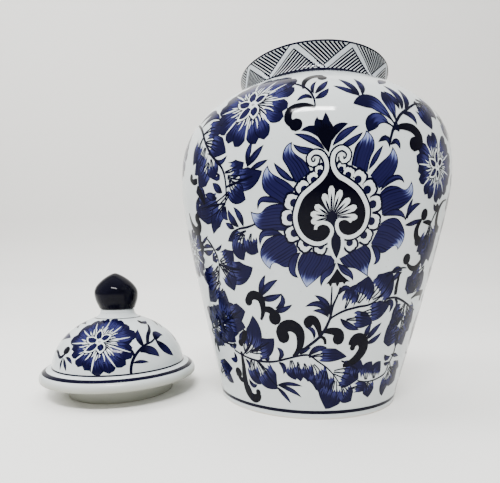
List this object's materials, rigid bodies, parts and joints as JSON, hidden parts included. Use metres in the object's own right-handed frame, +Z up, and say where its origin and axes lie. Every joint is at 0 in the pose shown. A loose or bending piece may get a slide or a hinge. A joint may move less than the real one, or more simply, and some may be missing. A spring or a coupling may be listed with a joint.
{
  "type": "ginger jar",
  "caption": "Turned porcelain ginger jar with broad shoulder, short collar and painted scrolling flowers; its domed, knobbed lid lies beside it.",
  "frame": {"origin": "table height, under the middle of the whole object's bounding box, which spans the jar and the lid lying at its left", "axes": "+Z up along the jar's axis, +X from the lid towards the jar, +Y away from the front of the jar"},
  "size_m": [0.362, 0.2248, 0.27],
  "materials": {
    "jar_glaze": "glossy white glaze over painted cobalt",
    "collar_glaze": "glossy white glaze over cobalt hatching",
    "lid_glaze": "glossy white glaze over painted cobalt",
    "ring_glaze": "thin glaze, ground edge",
    "navy_glaze": "glossy near-black navy glaze"
  },
  "bodies": {
    "jar": {"jar_body": "jar_glaze", "neck_collar": "collar_glaze"},
    "lid": {"lid_dome": "lid_glaze", "lid_locating_ring": "ring_glaze", "lid_knob": "navy_glaze"}
  },
  "joints": [
    {"name": "lid_lift", "type": "slide", "parent": "jar", "child": "lid", "axis": [-0.12, 0, 0.9928], "range_m": [0, 0.3]}
  ]
}
